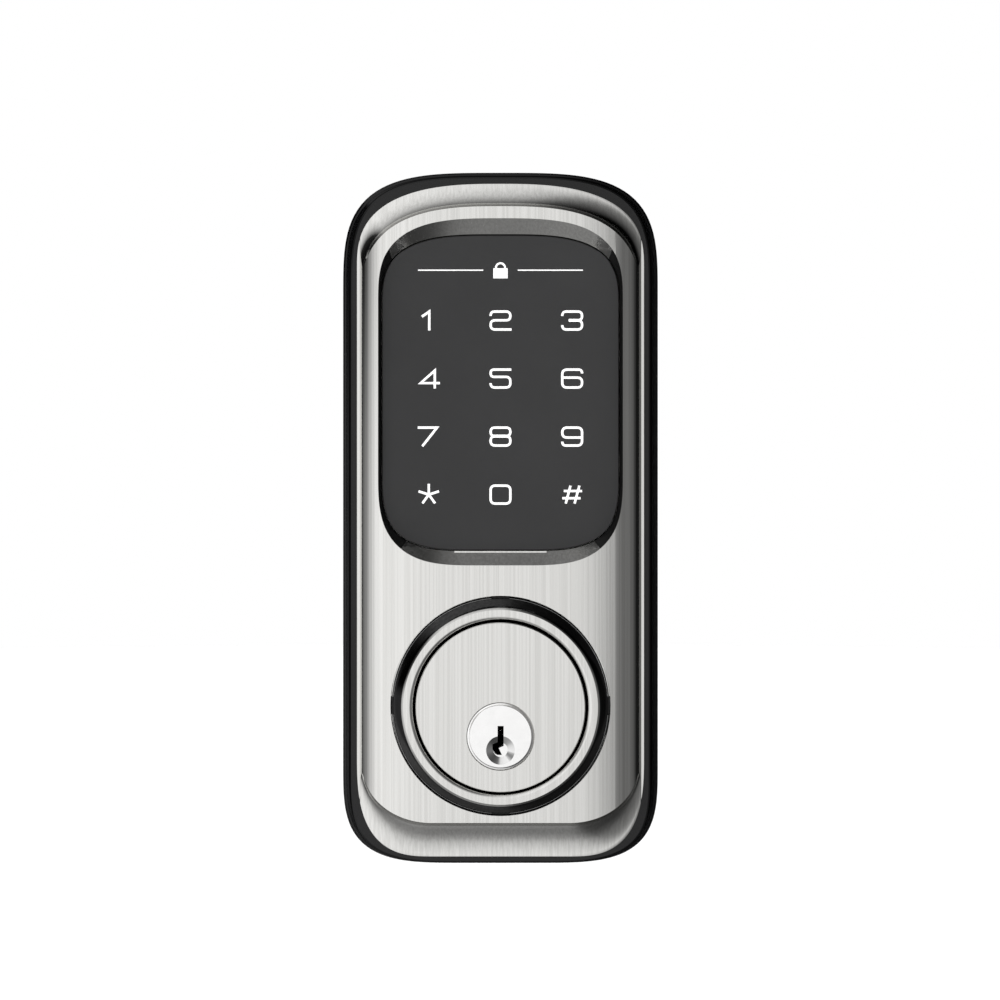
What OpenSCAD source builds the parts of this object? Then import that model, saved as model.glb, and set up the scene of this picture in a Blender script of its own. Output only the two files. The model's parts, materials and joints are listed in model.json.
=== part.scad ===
// Keypad smart lock: the outside unit of a motorised deadbolt.
// Millimetres. X is to the right, Y is into the door, Z is up.
// The origin is the centre of the door's cross bore on the door's outside face (y = 0).
// Depths called "t" are measured forwards from the door face, so y = -t.

/* [Case] */
// Half of the width of the case at the door
rim_half = 34.0; // [33.8:0.1:34.6]
// Top of the case above the cross bore
rim_top = 113.0; // [112.8:0.1:113.6]
// Bottom of the case below the cross bore
rim_bottom = -36.1; // [-36.6:0.1:-35.9]
// Height of the raised face above the door
face_t = 24.0; // [23.8:0.1:24.2]

/* [Touch panel] */
// Depth of the recess that the panel lies in
recess_deep = 2.6; // [2.4:0.1:2.8]
// Thickness of the panel
panel_thick = 2.7; // [2.4:0.1:2.7]
// Distance between the columns of digits
column_pitch = 14.95; // [14:0.05:15.5]
// Distance between the rows of digits
row_pitch = 12.1; // [11.8:0.1:12.4]

/* [Cylinder] */
// Radius of the key plug (a half-inch plug)
plug_r = 6.35; // [6.3:0.01:6.4]
// Drop of the plug below the centre of the cross bore
plug_drop = 6.0; // [5.9:0.05:6.1]
// Outer radius of the polished guard
guard_r = 22.2; // [22:0.05:22.25]
// How far the guard stands in front of the face
guard_proud = 3.0; // [2.6:0.1:3.2]

/* [Door fixing] */
// Radius of the adapter ring that centres the unit in a 54 mm cross bore
adapter_r = 26.7; // [26.5:0.05:26.75]
// Distance between the two through-bolt posts
post_pitch = 38.0; // [37.5:0.1:38.5]
// How far the tailpiece reaches into the door
tail_reach = 40.0; // [30:1:60]

/* [Hidden] */
$fn = 96;

// Steps in each quarter of a rounded outline
quarter_steps = 14;

// Outlines seen from the front: [half width, top, bottom, top corner, bottom corner].
// A corner is [width, height, power] of a rounded corner: 2 is an ellipse, more is squarer.
RIM = [rim_half, rim_top, rim_bottom, [33.6, 26.6, 3.5], [26.1, 21.4, 3.5]];
METAL = [rim_half - 3.9, rim_top - 4.1, rim_bottom + 4.0, [30.0, 17.4, 2.7], [15.6, 21.0, 2.8]];
FACE = [28.55, 103.8, -24.4, [28.4, 18.4, 2.75], [14.2, 11.4, 2.0]];
OPENING = [25.65, 101.2, 29.15, [25.5, 16.8, 3], [20.5, 19.0, 3]];
PANEL = [24.9, 98.1, 32.0, [23.0, 14.7, 3], [18.5, 15.3, 3]];
// Hollow behind the lower face, round the guard
POCKET = [26.3, 26.6, -23.5, [6, 6, 2], [13, 10.7, 2]];

// Depths, forwards from the door
gasket_t = 1.0;
floor_t = 3.0;
plate_t = 4.2;
flange_t = 18.6;
recess_t = face_t - recess_deep;
panel_back_t = recess_t - panel_thick;
ledge_t = panel_back_t - 0.3;
ledge_back_t = ledge_t - 1.5;
disc_t = face_t + guard_proud;
plug_face_t = disc_t + 0.3;
barrel_back_t = plate_t;
pocket_t = face_t - 2.8;

// Cylinder sizes
disc_r = 17.5;
guard_flange_r = guard_r + 0.8;
barrel_r = 15.4;
plug_bore_r = plug_r + 0.06;
plug_head_r = plug_r + 0.65;
cap_slot = [5.2, 1.4];
drill_pin_r = 0.9;
chamber_r = 1.48;
pin_r = 1.43;
chamber_ts = [for (i = [0:4]) 22.6 - 3.8 * i];
chamber_top = 10.6;
shear_z = -plug_drop + plug_r;
driver_len = 4.3;
driver_lift = 1.6;
// Length of each key pin, from the front
key_pin_lens = [4.6, 5.6, 5.0, 6.0, 4.9];

// Screws: radii of the thread's hole, the clear hole, the head and the screw boss
m3_tap_r = 1.25;
m3_hole_r = 1.6;
m3_head_r = 2.7;
boss_r = 3.0;
small_tap_r = 0.8;
tap_end_t = 15.5;

// Fixing places, as [x, z]
post_places = [[-post_pitch / 2, 0], [post_pitch / 2, 0]];
housing_screw_places = [[-14, 100.4], [14, 100.4], [-21.2, -23.6], [21.2, -23.6]];
carrier_screw_places = [[-23.3, 95.1], [23.3, 95.1], [-23.3, 35.0], [23.3, 35.0]];
cylinder_screw_places = [[-10.6, 5.4], [10.6, 5.4]];
drill_pin_places = [[-5, 2.2], [5, 2.2]];
grommet_place = [0, 20.0];
socket_place = [0, 43.0];
buzzer_place = [0, 78.0];

// Key positions on the panel, rows from the top
key_columns = [-column_pitch, 0, column_pitch];
key_rows = [for (i = [0:3]) 80.1 - row_pitch * i];
KEYS = ["1", "2", "3", "4", "5", "6", "7", "8", "9", "*", "0", "#"];
digit_w = 4.75;
digit_h = 4.4;
stroke = 0.58;

// Points of a rounded outline, anticlockwise from the middle of the right side
function corner(c, s) = [
    for (i = [0:quarter_steps])
        let (a = 90 * i / quarter_steps)
        [c[0] * pow(cos(a), 2 / c[2]), c[1] * pow(sin(a), 2 / c[2]) * s]
];
function outline(o) =
    let (
        top = corner(o[3], 1),
        low = corner(o[4], -1),
        tx = o[0] - o[3][0], tz = o[1] - o[3][1],
        lx = o[0] - o[4][0], lz = o[2] + o[4][1],
        n = quarter_steps
    )
    concat(
        [for (p = top) [tx + p[0], tz + p[1]]],
        [for (i = [n:-1:0]) [-tx - top[i][0], tz + top[i][1]]],
        [for (p = low) [-lx - p[0], lz + p[1]]],
        [for (i = [n:-1:0]) [lx + low[i][0], lz + low[i][1]]]
    );
// An outline drawn in by d all round
function inset(o, d) = [
    o[0] - d, o[1] - d, o[2] + d,
    [o[3][0] - d, o[3][1] - d * 0.8, o[3][2]],
    [o[4][0] - d * 0.8, o[4][1] - d * 0.8, o[4][2]]
];
// Points between two outlines: s is 0 on the first and 1 on the second
function between(a, b, s) = [for (i = [0:len(a) - 1]) a[i] * (1 - s) + b[i] * s];

// Extrudes a front view from depth t0 to depth t1
module slab(t0, t1) {
    translate([0, -t0, 0]) rotate([90, 0, 0]) linear_extrude(t1 - t0) children();
}
module sheet(o, t0, t1) {
    slab(t0, t1) polygon(outline(o));
}
// A turned shape about an axis through [x, z], drawn as [radius, depth]
module turned(points, place = [0, 0]) {
    translate([place[0], 0, place[1]]) rotate([90, 0, 0]) rotate_extrude() polygon(points);
}
module rod(r, t0, t1, place = [0, 0]) {
    translate([place[0], -t0, place[1]]) rotate([90, 0, 0]) cylinder(r = r, h = t1 - t0);
}
// A solid through a list of [depth, points] rings, back to front
module loft(rings) {
    n = len(rings[0][1]);
    m = len(rings);
    points = [for (ring = rings) for (p = ring[1]) [p[0], -ring[0], p[1]]];
    sides = [
        for (j = [0:m - 2]) for (i = [0:n - 1])
            let (k = (i + 1) % n) [j * n + i, j * n + k, (j + 1) * n + k, (j + 1) * n + i]
    ];
    back = [for (i = [n - 1:-1:0]) i];
    front = [for (i = [0:n - 1]) (m - 1) * n + i];
    polyhedron(
        points = points,
        faces = [for (f = concat(sides, [back], [front])) [for (i = [len(f) - 1:-1:0]) f[i]]]
    );
}
// A thin closed shape between two points of the front view, with square ends
module bar(a, b, w) {
    d = b - a;
    translate(a) rotate(atan2(d[1], d[0])) translate([-w / 2, -w / 2]) square([norm(d) + w, w]);
}

// ---------------------------------------------------------------- case

// Section across the case: the raised face is flat in the middle and rounds back at both sides
shoulder_x = 23.7;
shoulder_r = 5.9;
shoulder_end = 68;
module shoulder_section() {
    arc = [
        for (i = [0:8])
            let (a = shoulder_end * i / 8)
            [shoulder_x + shoulder_r * sin(a), face_t - shoulder_r * (1 - cos(a))]
    ];
    right = concat(arc, [[rim_half, arc[8][1]], [rim_half, 0]]);
    left = [for (i = [len(right) - 1:-1:0]) [-right[i][0], right[i][1]]];
    translate([0, 0, rim_bottom]) linear_extrude(rim_top - rim_bottom)
        polygon([for (p = concat(right, left)) [p[0], -p[1]]]);
}

module front_shape() {
    metal = outline(METAL);
    face = outline(FACE);
    cove_h = face_t - flange_t - 0.3;
    steps = 7;
    intersection() {
        loft(concat(
            [[flange_t - 0.6, metal]],
            [for (i = [0:steps])
                let (s = i / steps)
                [flange_t + cove_h * (1 - sqrt(1 - 0.98 * s * s)), between(metal, face, s)]],
            [[face_t, outline(inset(FACE, 0.15))]]
        ));
        shoulder_section();
    }
}

module escutcheon() {
    skirt = inset(METAL, 1.7);
    color([0.78, 0.77, 0.75]) difference() {
        union() {
            front_shape();
            sheet(skirt, plate_t, flange_t);
        }
        // Hollow behind the face, leaving the screw bosses
        difference() {
            sheet(inset(METAL, 3.3), plate_t - 1, ledge_back_t);
            for (p = housing_screw_places) rod(boss_r, plate_t, ledge_back_t, p);
        }
        sheet(POCKET, ledge_back_t - 1, pocket_t);
        // Sloped walls of the recess, and the step that the panel is stuck to
        loft([
            [recess_t - 0.01, outline(PANEL)],
            [face_t + 0.01, outline(OPENING)]
        ]);
        sheet(PANEL, ledge_t, recess_t);
        sheet(inset(PANEL, 2.6), ledge_back_t - 1, ledge_t + 1);
        // Hole for the guard and seat for its trim ring
        rod(guard_r + 0.1, 0, disc_t + 1);
        rod(guard_r + 0.65, face_t - 0.9, face_t + 1);
        // Tapped holes
        for (p = housing_screw_places) rod(m3_tap_r, plate_t - 1, tap_end_t, p);
        for (p = carrier_screw_places) rod(small_tap_r, ledge_back_t - 1, tap_end_t + 3.9, p);
    }
}

module rear_housing() {
    foot = outline(RIM);
    color([0.09, 0.09, 0.1]) difference() {
        loft([
            [gasket_t, outline(inset(RIM, 0.5))],
            [gasket_t + 0.8, foot],
            [gasket_t + 2.0, foot],
            [gasket_t + 3.2, outline(inset(RIM, 0.7))],
            [gasket_t + 5.0, outline(inset(RIM, 1.5))],
            [flange_t - 3.4, outline(inset(RIM, 2.6))],
            [flange_t - 1.6, outline(inset(RIM, 2.5))],
            [flange_t - 0.7, outline(inset(RIM, 2.7))],
            [flange_t - 0.6, outline(inset(RIM, 3.1))]
        ]);
        sheet(inset(METAL, 1.6), floor_t, flange_t + 1);
        rod(adapter_r + 0.05, -1, floor_t + 1);
        rod(adapter_r + 1.15, gasket_t + 1, floor_t + 1);
        for (p = housing_screw_places) {
            rod(m3_hole_r, 0, floor_t + 1, p);
            rod(m3_head_r + 0.2, 0, gasket_t + 1.1, p);
        }
    }
}

module door_gasket() {
    color([0.05, 0.05, 0.05]) difference() {
        sheet(inset(RIM, 0.6), 0, gasket_t);
        sheet(inset(RIM, 4.6), -1, gasket_t + 1);
    }
}

module back_plate() {
    color([0.7, 0.71, 0.72]) difference() {
        sheet(inset(METAL, 1.8), floor_t, plate_t);
        rod(8.2, 0, plate_t + 1, [0, -plug_drop]);
        rod(3.0, 0, plate_t + 1, grommet_place);
        for (p = post_places) rod(3.0, 0, plate_t + 1, p);
        for (p = housing_screw_places) rod(m3_hole_r, 0, plate_t + 1, p);
        for (p = cylinder_screw_places) rod(m3_hole_r, 0, plate_t + 1, p);
    }
}

module bore_adapter() {
    color([0.14, 0.14, 0.15]) turned([
        [24.3, -7], [adapter_r - 0.8, -7], [adapter_r, -6.2], [adapter_r, 0.6],
        [adapter_r - 0.3, 0.6], [adapter_r - 0.3, gasket_t + 1],
        [adapter_r + 1.0, gasket_t + 1], [adapter_r + 1.0, floor_t], [24.3, floor_t]
    ]);
}

module cable_grommet() {
    color([0.06, 0.06, 0.06]) turned([
        [1.9, floor_t - 0.9], [3.6, floor_t - 0.9], [3.8, floor_t - 0.6], [3.8, floor_t],
        [3.0, floor_t], [3.0, plate_t], [3.8, plate_t], [3.8, plate_t + 0.6],
        [3.6, plate_t + 0.9], [1.9, plate_t + 0.9]
    ], grommet_place);
}

post_end = -12;
module mounting_posts() {
    color([0.72, 0.73, 0.74]) for (p = post_places) difference() {
        turned([
            [0, post_end], [3.3, post_end], [3.6, post_end + 0.3], [3.6, floor_t],
            [3.0, floor_t], [3.0, plate_t], [0, plate_t]
        ], p);
        rod(2.1, post_end - 1, 2.4, p);
    }
}

// A screw seen from its head: pan head towards the door, thread forwards
module screw(place, head_r, head_h, r, t0, length) {
    translate([place[0], 0, place[1]]) rotate([90, 0, 0]) difference() {
        rotate_extrude() polygon([
            [0, t0 - head_h], [head_r - 0.35, t0 - head_h], [head_r, t0 - head_h + 0.45],
            [head_r, t0], [r, t0], [r, t0 + length - 0.5], [r - 0.4, t0 + length], [0, t0 + length]
        ]);
        for (a = [0, 90]) rotate(a)
            translate([-head_r * 0.6, -0.28, t0 - head_h - 1]) cube([head_r * 1.2, 0.56, 1.7]);
    }
}

module housing_screws() {
    color([0.3, 0.3, 0.32])
        for (p = housing_screw_places) screw(p, m3_head_r, 1.6, m3_tap_r, gasket_t + 1.1, 13.0);
}

// ---------------------------------------------------------------- touch panel and electronics

module touch_panel() {
    color([0.25, 0.25, 0.26]) union() {
        sheet(inset(PANEL, 0.15), panel_back_t, recess_t - 0.3);
        sheet(inset(PANEL, 0.45), recess_t - 0.3, recess_t);
    }
}

module panel_adhesive() {
    color([0.1, 0.1, 0.1]) difference() {
        sheet(inset(PANEL, 0.4), ledge_t, panel_back_t);
        sheet(inset(PANEL, 2.5), ledge_t - 1, panel_back_t + 1);
    }
}

// Digits are drawn with straight strokes on a grid 1 wide and 2 high
function glyph(k) =
    let (a = [0, 2], b = [1, 2], c = [0, 1], d = [1, 1], e = [0, 0], f = [1, 0])
    k == "1" ? [[[0.15, 1.45], [0.55, 2]], [[0.55, 2], [0.55, 0]]] :
    k == "2" ? [[a, b], [b, d], [d, c], [c, e], [e, f]] :
    k == "3" ? [[a, b], [b, f], [f, e], [[0.15, 1], d]] :
    k == "4" ? [[[0.8, 2], [0.8, 0]], [[0.8, 2], [0, 0.5]], [[0, 0.5], [1, 0.5]]] :
    k == "5" ? [[b, a], [a, c], [c, d], [d, f], [f, e]] :
    k == "6" ? [[b, a], [a, e], [e, f], [f, d], [d, c]] :
    k == "7" ? [[a, b], [b, [0.2, 0]]] :
    k == "8" ? [[a, b], [b, f], [f, e], [e, a], [c, d]] :
    k == "9" ? [[d, c], [c, a], [a, b], [b, f], [f, e]] :
    k == "0" ? [[a, b], [b, f], [f, e], [e, a]] :
    k == "#" ? [[[0.28, 0.1], [0.28, 1.9]], [[0.72, 0.1], [0.72, 1.9]],
                [[0, 0.65], [1, 0.65]], [[0, 1.35], [1, 1.35]]] :
    [[[0.5, 0.35], [0.5, 1.65]], [[0.12, 0.68], [0.88, 1.32]], [[0.12, 1.32], [0.88, 0.68]]];
// A point of a digit's grid, measured from the middle of the digit
function digit_point(p) = [(p[0] - 0.5) * (digit_w - stroke), (p[1] - 1) / 2 * (digit_h - stroke)];
legend_thick = 0.06;
// Plain padlock mark between two rules, above the digits
mark_z = 90.6;
rule_ends = [3.6, 17.2];
module padlock_mark() {
    translate([-1.5, mark_z - 1.7]) square([3.0, 2.1]);
    translate([0, mark_z + 0.4]) intersection() {
        difference() {
            circle(1.15);
            circle(0.75);
        }
        translate([-2, -0.05]) square([4, 2]);
    }
    for (side = [-1, 1])
        bar([side * rule_ends[0], mark_z], [side * rule_ends[1], mark_z], 0.25);
}
module key_legends() {
    color("white") slab(recess_t, recess_t + legend_thick) {
        padlock_mark();
        for (i = [0:11]) {
            middle = [key_columns[i % 3], key_rows[floor(i / 3)]];
            for (line = glyph(KEYS[i]))
                bar(middle + digit_point(line[0]), middle + digit_point(line[1]), stroke);
        }
    }
}

board_t = 13.4;
board_front_t = board_t + 1.4;
module board_shape() {
    translate([-20.5, 37]) square([41, 56.5]);
}

module light_guide() {
    color([0.93, 0.94, 0.95]) difference() {
        slab(board_front_t + 1.0, panel_back_t - 0.2) translate([-20, 39.5]) square([40, 50]);
        for (x = [-19, 19]) for (z = [41, 88]) rod(0.6, 0, 30, [x, z]);
    }
}

module key_leds() {
    color([0.95, 0.93, 0.75]) for (x = key_columns) for (z = key_rows)
        slab(board_front_t, board_front_t + 0.8) translate([x - 0.8, z - 0.8]) square(1.6);
}

module touch_board() {
    color([0.05, 0.22, 0.12]) difference() {
        slab(board_t, board_front_t) board_shape();
        for (x = [-19, 19]) for (z = [38.6, 91.9]) rod(0.8, 0, 30, [x, z]);
    }
}

carrier_t = 11.6;
carrier_half = 25.0;
// The larger chip is the controller and the smaller ones its memory and touch sensor
CHIPS = [[-13, 58, 7, 7], [11, 57, 5, 4], [12, 66, 4, 5]];
module controller_chips() {
    color([0.08, 0.08, 0.09]) for (c = CHIPS)
        slab(board_t - 1.2, board_t) translate([c[0] - c[2] / 2, c[1] - c[3] / 2]) square([c[2], c[3]]);
}

module cable_socket() {
    color([0.9, 0.88, 0.82]) difference() {
        slab(board_t - 6.0, board_t) translate(socket_place - [6.5, 3]) square([13, 6]);
        slab(board_t - 7.0, board_t - 1.2) translate(socket_place - [5.5, 2]) square([11, 4]);
    }
}

module buzzer() {
    color([0.1, 0.1, 0.1]) difference() {
        rod(5.5, board_t - 4.0, board_t, buzzer_place);
        rod(0.9, board_t - 5.0, board_t - 3.0, buzzer_place);
    }
}

module board_carrier() {
    color([0.2, 0.2, 0.21]) difference() {
        slab(carrier_t, ledge_back_t - 0.8) difference() {
            translate([-carrier_half, 33.3]) square([2 * carrier_half, 63.6]);
            for (p = carrier_screw_places) translate(p) circle(0.9);
        }
        // Pocket for the board, and windows behind its parts
        slab(board_t, 30) translate([-20.7, 36.8]) square([41.4, 56.9]);
        slab(0, 30) translate([-18, 54]) square([36, 15]);
        slab(0, 30) translate(socket_place - [8, 4.5]) square([16, 9]);
        rod(6.2, 0, 30, buzzer_place);
    }
}

module carrier_seal() {
    color([0.05, 0.05, 0.05]) slab(ledge_back_t - 0.8, ledge_back_t) difference() {
        translate([-24.8, 33.5]) square([49.6, 63.2]);
        translate([-22.4, 36.8]) square([44.8, 56.9]);
        for (p = carrier_screw_places) translate(p) circle(1.0);
    }
}

module carrier_screws() {
    color([0.5, 0.5, 0.52])
        for (p = carrier_screw_places) screw(p, 1.7, 1.2, small_tap_r, carrier_t, 7.4);
}

// ---------------------------------------------------------------- cylinder

// A ring with a polished cone outside, and a rounded edge next to the disc
guard_edge_w = 1.2;
guard_edge_h = 2.4;
module guard_ring() {
    inner = disc_r + 0.08;
    color([0.62, 0.62, 0.6]) turned(concat(
        [
            [inner, ledge_back_t + 2.2], [guard_flange_r, ledge_back_t + 2.2],
            [guard_flange_r, pocket_t - 0.2], [guard_r, pocket_t - 0.2], [guard_r, face_t + 0.3],
            [guard_r - 1.95, disc_t - 0.12], [guard_r - 2.1, disc_t]
        ],
        [for (a = [90:-15:0])
            [inner + guard_edge_w * (1 - cos(a)), disc_t - guard_edge_h * (1 - sin(a))]]
    ));
}

module guard_trim_ring() {
    color([0.12, 0.12, 0.12]) difference() {
        turned([
            [guard_r + 0.12, face_t - 0.9], [guard_r + 0.6, face_t - 0.9],
            [guard_r + 0.6, face_t + 0.1], [guard_r + 0.12, face_t + 0.1]
        ]);
        for (a = [0:90:270]) rotate([0, a, 0])
            slab(face_t - 0.35, face_t + 1) translate([guard_r - 1, -3.2]) square([3, 6.4]);
    }
}

module cylinder_body() {
    color([0.8, 0.79, 0.77]) difference() {
        union() {
            turned([
                [0, ledge_back_t + 2.4], [disc_r, ledge_back_t + 2.4], [disc_r, disc_t - 0.1],
                [disc_r - 0.1, disc_t], [0, disc_t]
            ]);
            rod(barrel_r, barrel_back_t, ledge_back_t + 3);
        }
        rod(plug_bore_r, 0, 40, [0, -plug_drop]);
        rod(plug_head_r + 0.06, plug_face_t - 1.6, 40, [0, -plug_drop]);
        for (t = chamber_ts) translate([0, -t, -plug_drop])
            cylinder(r = chamber_r, h = plug_drop + chamber_top);
        // Slot for the chamber cap
        slab(barrel_back_t - 1, 25) translate([-cap_slot[0] / 2, chamber_top]) square(cap_slot);
        for (p = cylinder_screw_places) rod(m3_tap_r, 0, 14, p);
        for (p = drill_pin_places) rod(drill_pin_r, 12, 25, p);
    }
}

module cylinder_screws() {
    color([0.55, 0.55, 0.57])
        for (p = cylinder_screw_places) screw(p, m3_head_r - 0.2, 1.5, m3_tap_r, floor_t, 10.0);
}

module anti_drill_pins() {
    color([0.35, 0.35, 0.37]) for (p = drill_pin_places) rod(drill_pin_r, 12, 25, p);
}

module chamber_cap() {
    color([0.75, 0.6, 0.3])
        slab(barrel_back_t, 25) translate([-cap_slot[0] / 2, chamber_top]) square(cap_slot);
}

// Keyway, drawn about the plug's axis
keyway = [
    [-0.6, 2.2], [0.65, 2.2], [0.65, -2.05], [-0.35, -2.45], [-0.1, -3.0], [0.3, -3.9],
    [-0.65, -3.9], [-1.15, -3.6], [-1.65, -2.7], [-1.65, -1.65], [-0.6, -1.25]
];
// Countersunk mouth of the keyway
mouth_r = 2.97;
mouth_deep = 1.0;
mouth_drop = 2.83;
lug_r = 4.9;
// A sector between radii r0 and r1, from angle a0 to a1
module sector(r0, r1, a0, a1) {
    steps = 12;
    polygon(concat(
        [for (i = [0:steps]) let (a = a0 + (a1 - a0) * i / steps) [r1 * cos(a), r1 * sin(a)]],
        [for (i = [steps:-1:0]) let (a = a0 + (a1 - a0) * i / steps) [r0 * cos(a), r0 * sin(a)]]
    ));
}

plug_rear_t = 4.1;
module key_plug() {
    color([0.86, 0.85, 0.83]) translate([0, 0, -plug_drop]) difference() {
        union() {
            turned([
                [0, 0.6], [5.2, 0.6], [5.2, plug_rear_t], [plug_r, plug_rear_t + 0.8],
                [plug_r, plug_face_t - 1.5], [plug_head_r, plug_face_t - 1.5],
                [plug_head_r, plug_face_t - 0.65], [plug_r, plug_face_t], [0, plug_face_t]
            ]);
            // Two lugs that push the tailpiece round
            slab(-0.8, 0.7) for (a = [0, 180]) rotate(a) sector(2.6, lug_r, -20, 20);
        }
        slab(6.5, 40) polygon(keyway);
        translate([0, -plug_face_t - 0.01, -mouth_drop]) rotate([90, 0, 0]) mirror([0, 0, 1])
            cylinder(r1 = mouth_r, r2 = mouth_r / 2, h = mouth_deep);
        for (t = chamber_ts) translate([0, -t, -1.2]) cylinder(r = chamber_r, h = 8);
    }
}

// Pins stand in the row of chambers; a key pin is pointed and a driver pin is waisted
module pin(r, length, point) {
    rotate_extrude() polygon([
        [0, 0], [r - point, 0], [r, point], [r, length - 0.12], [r - 0.12, length], [0, length]
    ]);
}

module key_pins() {
    color([0.8, 0.66, 0.32]) for (i = [0:4])
        translate([0, -chamber_ts[i], shear_z - 0.22 - key_pin_lens[i]]) pin(pin_r, key_pin_lens[i], 0.7);
}

driver_z = -plug_drop + plug_bore_r + 0.03;
module driver_pins() {
    color([0.74, 0.74, 0.75]) for (t = chamber_ts)
        translate([0, -t, driver_z]) pin(pin_r, driver_len, 0.15);
}

spring_r = 1.08;
spring_wire = 0.17;
spring_turns = 5;
module spring(z0, z1) {
    sides = 4;
    per_turn = 8;
    n = spring_turns * per_turn;
    rise = z1 - z0 - 2 * spring_wire;
    points = [
        for (i = [0:n]) for (j = [0:sides - 1])
            let (
                a = 360 * i / per_turn,
                b = 360 * j / sides,
                r = spring_r + spring_wire * cos(b)
            )
            [r * cos(a), r * sin(a), z0 + spring_wire + rise * i / n + spring_wire * sin(b)]
    ];
    walls = [
        for (i = [0:n - 1]) for (j = [0:sides - 1])
            let (k = (j + 1) % sides, p = i * sides, q = (i + 1) * sides)
            for (f = [[p + j, q + j, q + k], [p + j, q + k, p + k]]) f
    ];
    start = [[0, 1, 2], [0, 2, 3]];
    last = n * sides;
    end = [[last, last + 2, last + 1], [last, last + 3, last + 2]];
    polyhedron(points = points, faces = concat(walls, start, end));
}

module pin_springs() {
    color([0.75, 0.76, 0.78]) for (t = chamber_ts)
        translate([0, -t, 0]) spring(driver_z + driver_len + 0.02, chamber_top - 0.02);
}

// Screwed on the back of the plug: it holds the plug in the body and the tailpiece on the plug
module tail_cap() {
    color([0.78, 0.64, 0.32]) translate([0, 0, -plug_drop]) turned([
        [5.2, plug_rear_t - 0.1], [5.2, -0.95], [3.6, -0.95], [3.6, -2.0], [6.4, -2.0],
        [6.8, -1.6], [6.8, plug_rear_t - 0.1]
    ]);
}

module tailpiece() {
    color([0.7, 0.71, 0.72]) translate([0, 0, -plug_drop]) {
        // Round head with two notches, 90 degrees wider than the lugs
        slab(-0.85, 0.5) {
            circle(2.4);
            for (a = [90, 270]) rotate(a) sector(0, lug_r, -22, 22);
        }
        slab(-tail_reach, -0.8) translate([-3.1, -0.8]) square([6.2, 1.6]);
    }
}

escutcheon();
rear_housing();
door_gasket();
back_plate();
bore_adapter();
cable_grommet();
mounting_posts();
housing_screws();
touch_panel();
panel_adhesive();
key_legends();
light_guide();
key_leds();
touch_board();
controller_chips();
cable_socket();
buzzer();
board_carrier();
carrier_seal();
carrier_screws();
guard_ring();
guard_trim_ring();
cylinder_body();
cylinder_screws();
anti_drill_pins();
chamber_cap();
key_plug();
key_pins();
driver_pins();
pin_springs();
tail_cap();
tailpiece();
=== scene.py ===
import json
import math

import bpy
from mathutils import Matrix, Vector

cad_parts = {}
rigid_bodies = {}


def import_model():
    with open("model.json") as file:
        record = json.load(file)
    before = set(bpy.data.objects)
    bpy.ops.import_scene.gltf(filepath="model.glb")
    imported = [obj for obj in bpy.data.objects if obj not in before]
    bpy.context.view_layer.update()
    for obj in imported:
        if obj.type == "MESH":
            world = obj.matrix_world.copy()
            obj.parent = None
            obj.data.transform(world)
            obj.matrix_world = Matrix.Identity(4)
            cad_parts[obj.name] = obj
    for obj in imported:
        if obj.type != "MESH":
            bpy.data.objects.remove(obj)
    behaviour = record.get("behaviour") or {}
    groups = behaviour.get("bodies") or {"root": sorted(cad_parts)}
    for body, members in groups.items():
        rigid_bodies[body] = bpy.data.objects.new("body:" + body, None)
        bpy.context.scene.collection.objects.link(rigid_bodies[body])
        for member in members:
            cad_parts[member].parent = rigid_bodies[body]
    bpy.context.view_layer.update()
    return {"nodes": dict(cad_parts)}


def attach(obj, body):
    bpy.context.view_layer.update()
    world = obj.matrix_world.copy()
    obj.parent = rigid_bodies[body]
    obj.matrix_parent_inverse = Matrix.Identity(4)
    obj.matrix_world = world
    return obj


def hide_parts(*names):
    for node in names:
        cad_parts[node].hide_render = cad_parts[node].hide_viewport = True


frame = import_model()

nodes = frame["nodes"]
mm = 0.001


# ---------------------------------------------------------------- studio
# The lock hangs at door height over a pale floor, as it would on a stand in a studio.
# The camera looks level along the lock's own axis. A soft white box stands in front and to the
# left, with darker walls above, below and to the right, which the polished edges pick up. Black
# cloths hang in the two upper corners and darken the cove there.
camera_distance = 520 * mm
face_depth = 24 * mm
view_height = 53.1 * mm
frame_height_at_face = 207.5 * mm

bpy.ops.object.select_all(action="DESELECT")
bpy.ops.object.camera_add(location=(-0.1 * mm, -face_depth - camera_distance, view_height),
                          rotation=(math.pi / 2, 0, 0))
camera = bpy.context.object
camera.name = "camera"
camera.data.sensor_width = 36
camera.data.lens = 36 * camera_distance / frame_height_at_face
camera.data.shift_y = -0.05
camera.data.clip_start = 0.01
bpy.context.scene.camera = camera

bpy.ops.mesh.primitive_circle_add(vertices=96, radius=4, fill_type="NGON", location=(0, 0, -0.30))
floor = bpy.context.object
floor.name = "studio_floor"
floor_white = bpy.data.materials.new("floor_white")
floor_white.use_nodes = True
floor_white.node_tree.nodes["Principled BSDF"].inputs["Base Color"].default_value = (0.93, 0.93, 0.93, 1)
floor_white.node_tree.nodes["Principled BSDF"].inputs["Roughness"].default_value = 0.7
floor.data.materials.append(floor_white)
floor.visible_glossy = False

studio = bpy.data.worlds.new("studio")
studio.use_nodes = True
bpy.context.scene.world = studio
bpy.context.scene.view_settings.view_transform = "Standard"
bpy.context.scene.view_settings.look = "None"


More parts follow.
